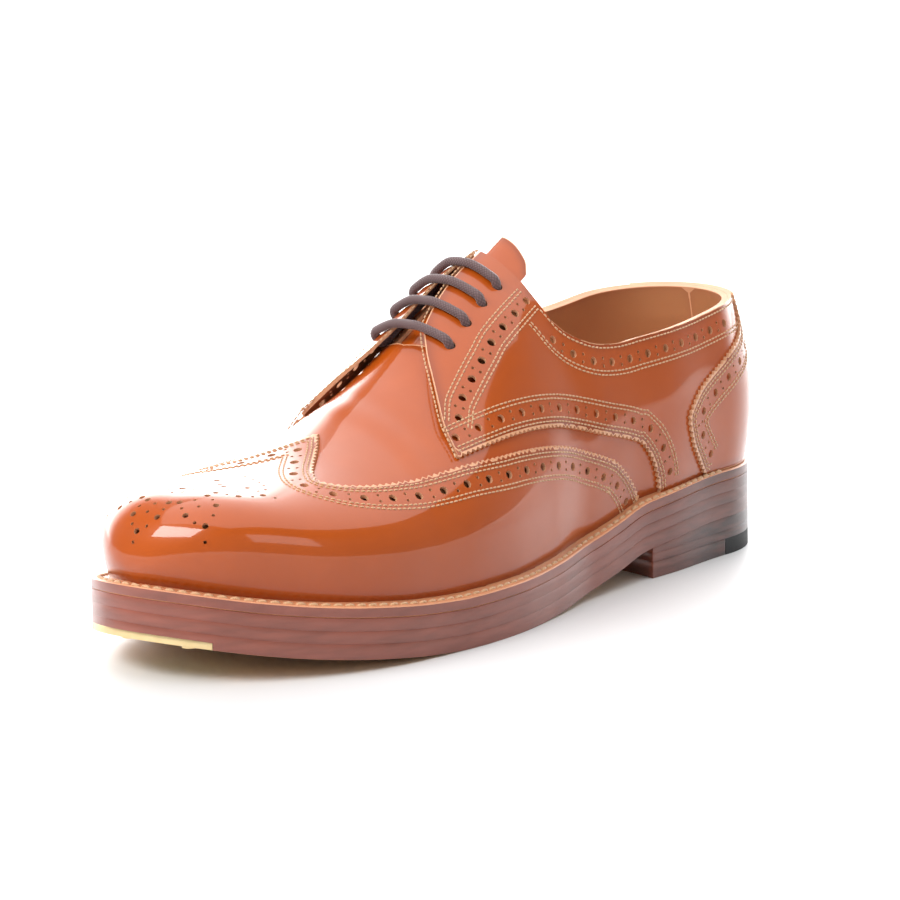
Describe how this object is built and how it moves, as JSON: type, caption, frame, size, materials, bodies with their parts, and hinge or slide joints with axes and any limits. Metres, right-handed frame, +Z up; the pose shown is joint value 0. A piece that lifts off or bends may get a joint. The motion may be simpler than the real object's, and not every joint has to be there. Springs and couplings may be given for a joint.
{
  "type": "full brogue derby shoe",
  "caption": "Left full brogue derby in cognac leather with a winged toe cap, open lacing, a thick layered leather sole, a stacked heel and an open foot cavity.",
  "frame": {"origin": "middle of the shoe's bounding box, at the floor that heel and forefoot stand on", "axes": "+Z up, -Y towards the toe, +X towards the outer (lateral) side of the left foot"},
  "size_m": [0.1106, 0.3098, 0.1228],
  "materials": {
    "upper": "burnished, high gloss",
    "lining": "plain, matt",
    "sole_edge": "stained and waxed edge",
    "sole_leather": "natural, smooth",
    "welt": "natural, stitched",
    "heel": "stained and waxed edge",
    "rubber": "satin",
    "brass": "worn",
    "lace": "woven, waxed"
  },
  "bodies": {
    "root": {"outsole": "sole_leather", "toe_plate": "brass", "toe_plate_screw_1": "brass", "toe_plate_screw_2": "brass", "toe_plate_screw_3": "brass", "midsole_lower": "sole_edge", "midsole_upper": "sole_edge", "welt": "welt", "heel_wedge": "heel", "heel_lift": "heel", "heel_top_piece_rubber": "rubber", "heel_top_piece_leather": "heel", "insole": "lining", "upper": "upper", "wing_cap": "upper", "quarter_lateral": "upper", "quarter_medial": "upper", "heel_counter": "upper", "tongue": "upper", "lace_bar_1": "lace", "lace_bar_2": "lace", "lace_bar_3": "lace", "lace_bar_4": "lace"}
  },
  "joints": []
}
